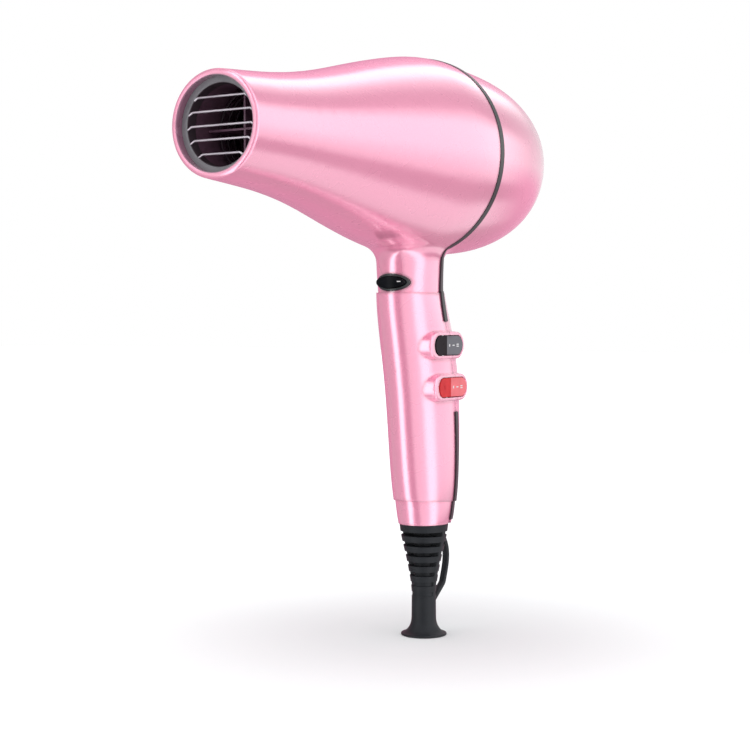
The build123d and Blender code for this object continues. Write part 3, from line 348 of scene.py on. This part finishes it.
def make_materials():
    """One material for each slot of the record."""
    steel_stretch = (1.0, 0.12, 1.0)
    return {
        "pink_shell": pearl_paint(),
        "black_trim": surface(
            "black_trim", (0.014, 0.016, 0.019), (0.022, 0.025, 0.028), 180.0, (0.36, 0.46),
            2000.0, 0.00003,
        )[0],
        # The third colour of each rocker is painted light on its rear half
        "black_gloss": gloss_plastic(
            "black_gloss", (0.004, 0.0045, 0.006), (0.008, 0.009, 0.012), (0.20, 0.20, 0.225),
            SPEED_RIDGE_Y,
        ),
        "red_gloss": gloss_plastic(
            "red_gloss", (0.62, 0.03, 0.035), (0.78, 0.05, 0.055), (0.98, 0.24, 0.27),
            HEAT_RIDGE_Y,
        ),
        "black_rubber": rubber(),
        "ring_grey": outlet_grey(),
        "steel_wire": surface(
            "steel_wire", (0.36, 0.33, 0.37), (0.48, 0.45, 0.49), 900.0, (0.28, 0.4), 2500.0,
            0.00002, 0.75, (0.1, 1.0, 1.0),
        )[0],
        "steel_parts": surface(
            "steel_parts", (0.42, 0.42, 0.43), (0.6, 0.6, 0.6), 500.0, (0.25, 0.42), 1800.0,
            0.00003, 0.95, steel_stretch,
        )[0],
        "filter_steel": woven_steel(),
        "brass_parts": surface(
            "brass_parts", (0.55, 0.38, 0.14), (0.72, 0.53, 0.22), 260.0, (0.25, 0.4), 1500.0,
            0.00003, 0.95,
        )[0],
        "copper": banded(
            "copper", (0.32, 0.09, 0.03), (0.66, 0.25, 0.1), 900.0, "X", (0.25, 0.35), 0.0002, 0.8
        ),
        # Painted shade and painted reflection: the heating wire is near black with a pink tint,
        # like the shaded heater lit pink by the outlet's wall
        "nichrome": surface(
            "nichrome", (0.03, 0.016, 0.024), (0.05, 0.026, 0.04), 400.0, (0.45, 0.6), 2000.0,
            0.00003, 0.3,
        )[0],
        "lamination": banded(
            "lamination", (0.08, 0.08, 0.09), (0.24, 0.24, 0.26), 420.0, "Y", (0.35, 0.5), 0.0002,
            0.85,
        ),
        # Painted shade and painted reflection: the mica is dark and pinkish, like the shaded heater
        # lit pink by the outlet's wall
        "mica": surface(
            "mica", (0.14, 0.07, 0.11), (0.20, 0.10, 0.155), 700.0, (0.4, 0.55), 1200.0, 0.0001
        )[0],
        "carbon": surface(
            "carbon", (0.02, 0.02, 0.02), (0.05, 0.05, 0.05), 900.0, (0.5, 0.65), 1800.0, 0.00005
        )[0],
        "dark_plastic": surface(
            "dark_plastic", (0.028, 0.026, 0.03), (0.045, 0.042, 0.047), 200.0, (0.42, 0.55),
            1500.0, 0.00005,
        )[0],
        "fan_plastic": surface(
            "fan_plastic", (0.05, 0.05, 0.055), (0.08, 0.08, 0.085), 200.0, (0.38, 0.5), 1200.0,
            0.00005,
        )[0],
        "white_plastic": surface(
            "white_plastic", (0.70, 0.68, 0.62), (0.80, 0.79, 0.74), 160.0, (0.35, 0.45), 1200.0,
            0.00003,
        )[0],
        "board_green": circuit_green(),
        "capacitor_film": surface(
            "capacitor_film", (0.55, 0.38, 0.06), (0.68, 0.5, 0.1), 160.0, (0.3, 0.4), 1200.0,
            0.00003,
        )[0],
        "lead_insulation": surface(
            "lead_insulation", (0.42, 0.42, 0.44), (0.55, 0.55, 0.57), 260.0, (0.45, 0.55),
            1500.0, 0.00004, 0.0, (1.0, 1.0, 0.1),
        )[0],
    }


def dress_frame(materials):
    """Give every CAD node the material of its slot."""
    for entry in frame["record"]["subparts"]:
        node = nodes[entry["node"]]
        node.data.materials.clear()
        node.data.materials.append(materials[entry["material_slot"]])


# ------------------------------------------------------------------ printed marks
MARK_RISE = 0.00005
MARK_SINK = 0.0002
TICK_START = (0.0052, -0.08, 0.1643)
TICK_LENGTH = 0.0017
TICK_WIDTH = 0.0004


def mark_material():
    """Pale pad-printed ink."""
    return surface(
        "mark_ink", (0.74, 0.74, 0.75), (0.84, 0.84, 0.85), 900.0, (0.45, 0.6), 4000.0, 0.00001
    )[0]


def stadium(length, width, steps=10):
    """Outline of a round-ended bar, as (across, along) pairs."""
    outline = []
    for end in (1, -1):
        for step in range(steps + 1):
            turn = math.pi * step / steps
            outline.append(
                (
                    end * (length - width) / 2 + end * math.sin(turn) * width / 2,
                    end * math.cos(turn) * width / 2,
                )
            )
    return outline


def add_bar(form, place, normal, along, length, width):
    """Raised round-ended bar with an eased edge, standing on a surface point."""
    across = normal.cross(along).normalized()
    rings = []
    for rise, shrink in ((-MARK_SINK, 0.0), (MARK_RISE * 0.6, 0.0), (MARK_RISE, MARK_RISE)):
        rings.append(
            [
                form.verts.new(place + along * u + across * v + normal * rise)
                for u, v in stadium(length - 2 * shrink, width - 2 * shrink)
            ]
        )
    for low, high in zip(rings, rings[1:]):
        for index in range(len(low)):
            after = (index + 1) % len(low)
            form.faces.new((low[index], low[after], high[after], high[index]))
    form.faces.new(rings[-1])
    form.faces.new(list(reversed(rings[0])))


def marks_on(name, node, body, direction, bars, material):
    """Piece of bars (start, along, length, width), dropped on a node along a direction."""
    form = bmesh.new()
    for start, along, length, width in bars:
        hit, place, normal, _ = nodes[node].ray_cast(Vector(start), Vector(direction))
        if hit:
            flat = (Vector(along) - normal * normal.dot(Vector(along))).normalized()
            add_bar(form, place, normal, flat, length, width)
    bmesh.ops.recalc_face_normals(form, faces=form.faces)
    mesh = bpy.data.meshes.new(name)
    form.to_mesh(mesh)
    form.free()
    mesh.materials.append(material)
    piece = bpy.data.objects.new(name, mesh)
    bpy.context.scene.collection.objects.link(piece)
    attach(piece, body)


def rocker_bars(ridge_y, middle_z):
    """Off dot, one bar and two bars along the rear half of a rocker."""
    start_x = 0.03
    up = (0.0, 0.0, 1.0)
    back = (0.0, 1.0, 0.0)
    spots = [
        (2.4, 0.0, up, 1.3, 0.75),
        (5.3, 0.0, back, 1.7, 0.5),
        (8.4, 0.45, back, 1.8, 0.45),
        (8.4, -0.45, back, 1.8, 0.45),
    ]
    return [
        ((start_x, ridge_y + y / 1000, middle_z + z / 1000), along, length / 1000, width / 1000)
        for y, z, along, length, width in spots
    ]


def make_marks():
    """Generic setting marks on both rockers and a tick on the cold-shot button."""
    ink = mark_material()
    side = (-1.0, 0.0, 0.0)
    marks_on("speed_marks", "speed_rocker", "speed_switch_rocker", side,
             rocker_bars(SPEED_RIDGE_Y, SPEED_MIDDLE_Z), ink)
    marks_on("heat_marks", "heat_rocker", "heat_switch_rocker", side,
             rocker_bars(HEAT_RIDGE_Y, HEAT_MIDDLE_Z), ink)
    tick = [(TICK_START, (1.0, 0.0, 0.0), TICK_LENGTH, TICK_WIDTH)]
    marks_on("cold_mark", "cold_shot_button", "cold_button", (0.0, 1.0, 0.0), tick, ink)


# ------------------------------------------------------------------ studio
def area_light(name, place, target, size, power):
    """Square softbox at a place, facing a target, that reflections don't show."""
    data = bpy.data.lights.new(name, "AREA")
    data.size = size
    data.energy = power
    light = bpy.data.objects.new(name, data)
    light.location = place
    aim = Vector(target) - Vector(place)
    light.rotation_euler = aim.to_track_quat("-Z", "Y").to_euler()
    light.visible_glossy = False
    bpy.context.scene.collection.objects.link(light)


def bands_of(*stops):
    """Ramp stops from (degrees, brightness or colour), over a full turn from -180 degrees."""
    return tuple(
        ((degrees + 180.0) / 360.0, level if isinstance(level, tuple) else grey(level))
        for degrees, level in stops
    )


# Rose tints where the paint reflects at grazing angles
DIM_ROSE = (0.70, 0.30, 0.44)
ROSE = (1.0, 0.50, 0.68)
# Softboxes behind the barrel, by the angle round its axis from +X upwards
BARREL_BANDS = bands_of(
    (-180, DIM_ROSE), (-132, DIM_ROSE), (-92, 0.3), (-82, 1.1), (-52, 1.3), (-42, 0.35),
    (-27, 0.3), (-19, 1.3), (-4, 1.8), (6, 2.2), (34, 2.2), (43, 1.3), (50, 0.5), (66, 0.5),
    (80, 1.1), (95, 2.3), (107, 2.3), (117, ROSE), (150, DIM_ROSE), (180, DIM_ROSE),
)
# The same seen almost straight back, by height
BACK_BANDS = ((0.30, DIM_ROSE), (0.46, ROSE), (0.53, grey(1.0)), (0.64, grey(0.75)))
# Softboxes in front, by the compass angle from -Y towards +X
HANDLE_BANDS = bands_of(
    (-180, 0.5), (-70, 0.5), (-40, 0.6), (-28, 4.0), (-15, 4.0), (-5, 0.7), (4, 0.15),
    (18, 0.15), (30, 1.3), (46, 1.4), (62, 1.6), (76, 3.3), (98, 3.3), (116, 1.2), (180, 0.6),
)
SURROUND_LEVEL = 0.92  # what lights the matte surfaces


def turn_ramp(tree, first, second, stops):
    """Ramp over the angle whose tangent is first / second."""
    angle = tree.nodes.new("ShaderNodeMath")
    angle.operation = "ARCTAN2"
    tree.links.new(first, angle.inputs[0])
    tree.links.new(second, angle.inputs[1])
    turn = tree.nodes.new("ShaderNodeMapRange")
    turn.inputs["From Min"].default_value = -math.pi
    turn.inputs["From Max"].default_value = math.pi
    tree.links.new(angle.outputs["Value"], turn.inputs["Value"])
    return ramp(tree, turn.outputs["Result"], stops)


def make_world():
    """White backdrop for the camera, soft grey for matte light, softboxes for reflections."""
    world = bpy.data.worlds.new("studio")
    bpy.context.scene.world = world
    world.use_nodes = True
    tree = world.node_tree
    shader = tree.nodes["Background"]
    source = tree.nodes.new("ShaderNodeTexCoord")
    split = tree.nodes.new("ShaderNodeSeparateXYZ")
    tree.links.new(source.outputs["Generated"], split.inputs["Vector"])
    forward = tree.nodes.new("ShaderNodeMath")
    forward.operation = "MULTIPLY"
    forward.inputs[1].default_value = -1.0
    tree.links.new(split.outputs["Y"], forward.inputs[0])
    behind = tree.nodes.new("ShaderNodeMapRange")
    behind.interpolation_type = "SMOOTHSTEP"
    behind.inputs["From Min"].default_value = 0.0
    behind.inputs["From Max"].default_value = 0.35
    tree.links.new(split.outputs["Y"], behind.inputs["Value"])
    round_barrel = turn_ramp(tree, split.outputs["Z"], split.outputs["X"], BARREL_BANDS)
    round_handle = turn_ramp(tree, split.outputs["X"], forward.outputs["Value"], HANDLE_BANDS)
    height = tree.nodes.new("ShaderNodeMapRange")
    height.inputs["From Min"].default_value = -1.0
    tree.links.new(split.outputs["Z"], height.inputs["Value"])
    straight_back = ramp(tree, height.outputs["Result"], BACK_BANDS)
    far = tree.nodes.new("ShaderNodeMapRange")
    far.interpolation_type = "SMOOTHSTEP"
    far.inputs["From Min"].default_value = 0.86
    far.inputs["From Max"].default_value = 0.97
    tree.links.new(split.outputs["Y"], far.inputs["Value"])
    rear = mixed(tree, far.outputs["Result"], round_barrel, straight_back)
    softboxes = mixed(tree, behind.outputs["Result"], round_handle, rear)
    path = tree.nodes.new("ShaderNodeLightPath")
    lit = mixed(tree, path.outputs["Is Glossy Ray"], grey(SURROUND_LEVEL), softboxes)
    seen = mixed(tree, path.outputs["Is Camera Ray"], lit, grey(1.0))
    tree.links.new(seen, shader.inputs["Color"])


FLOOR_REACH = 6.0


def make_floor(paper):
    """Pale seamless floor at the height that the dryer stands on."""
    mesh = bpy.data.meshes.new("floor")
    form = bmesh.new()
    bmesh.ops.create_grid(form, x_segments=24, y_segments=24, size=FLOOR_REACH)
    form.to_mesh(mesh)
    form.free()
    floor = bpy.data.objects.new("floor", mesh)
    floor.location.z = cad_box[0][2]
    floor.visible_glossy = False
    floor.visible_diffuse = False
    mesh.materials.append(paper)
    bpy.context.scene.collection.objects.link(floor)


# Painted light on the paper: it glows more with distance from the foot, so the dip round the foot
# is a painted shadow; places are shares of FLOOR_REACH
PAINTED_FLOOR_GLOW_AND_SHADOW = (
    (0.0, grey(0.0)), (0.005, grey(0.0)), (0.0092, grey(0.01)), (0.0142, grey(0.07)),
    (0.0183, grey(0.12)), (0.025, grey(0.2)), (0.05, grey(0.3)), (0.17, grey(0.4)),
    (0.4, grey(0.6)),
)


def floor_material():
    """Pale matte paper that glows faintly, more with distance from the foot: painted light, whose
    dip round the foot is a painted shadow.
    """
    material, tree, shader = surface(
        "floor_paper_painted_shadow", (0.855, 0.875, 0.885), (0.875, 0.895, 0.905), 3.0, (0.7, 0.8), 600.0,
        0.0001,
    )
    shader.inputs["Specular IOR Level"].default_value = 0.0
    spread = tree.nodes.new("ShaderNodeTexGradient")
    spread.gradient_type = "SPHERICAL"
    reach = 1.0 / FLOOR_REACH
    tree.links.new(coordinates(tree, (reach, reach, reach)), spread.inputs["Vector"])
    painted_floor_light_and_shade = ramp(
        tree,
        spread.outputs["Fac"],
        [(1.0 - place, colour) for place, colour in reversed(PAINTED_FLOOR_GLOW_AND_SHADOW)],
    )
    # Painted light and painted shadow: the glow, weakest round the foot, goes in as emission
    tree.links.new(painted_floor_light_and_shade, shader.inputs["Emission Color"])
    shader.inputs["Emission Strength"].default_value = 1.0
    return material


def make_lights():
    """Soft overhead light and a weak one from the front, for the matte surfaces."""
    middle = (0.0, -0.03, 0.14)
    area_light("overhead", (0.1, -0.1, 1.7), (0.0, 0.0, 0.0), 1.9, 4.0)
    area_light("front_fill", (0.9, -1.1, 0.7), middle, 0.8, 1.5)


# ------------------------------------------------------------------ make it all
make_camera()
materials = make_materials()
dress_frame(materials)
make_marks()
make_world()
make_lights()
make_floor(floor_material())
bpy.context.scene.view_settings.view_transform = "Standard"
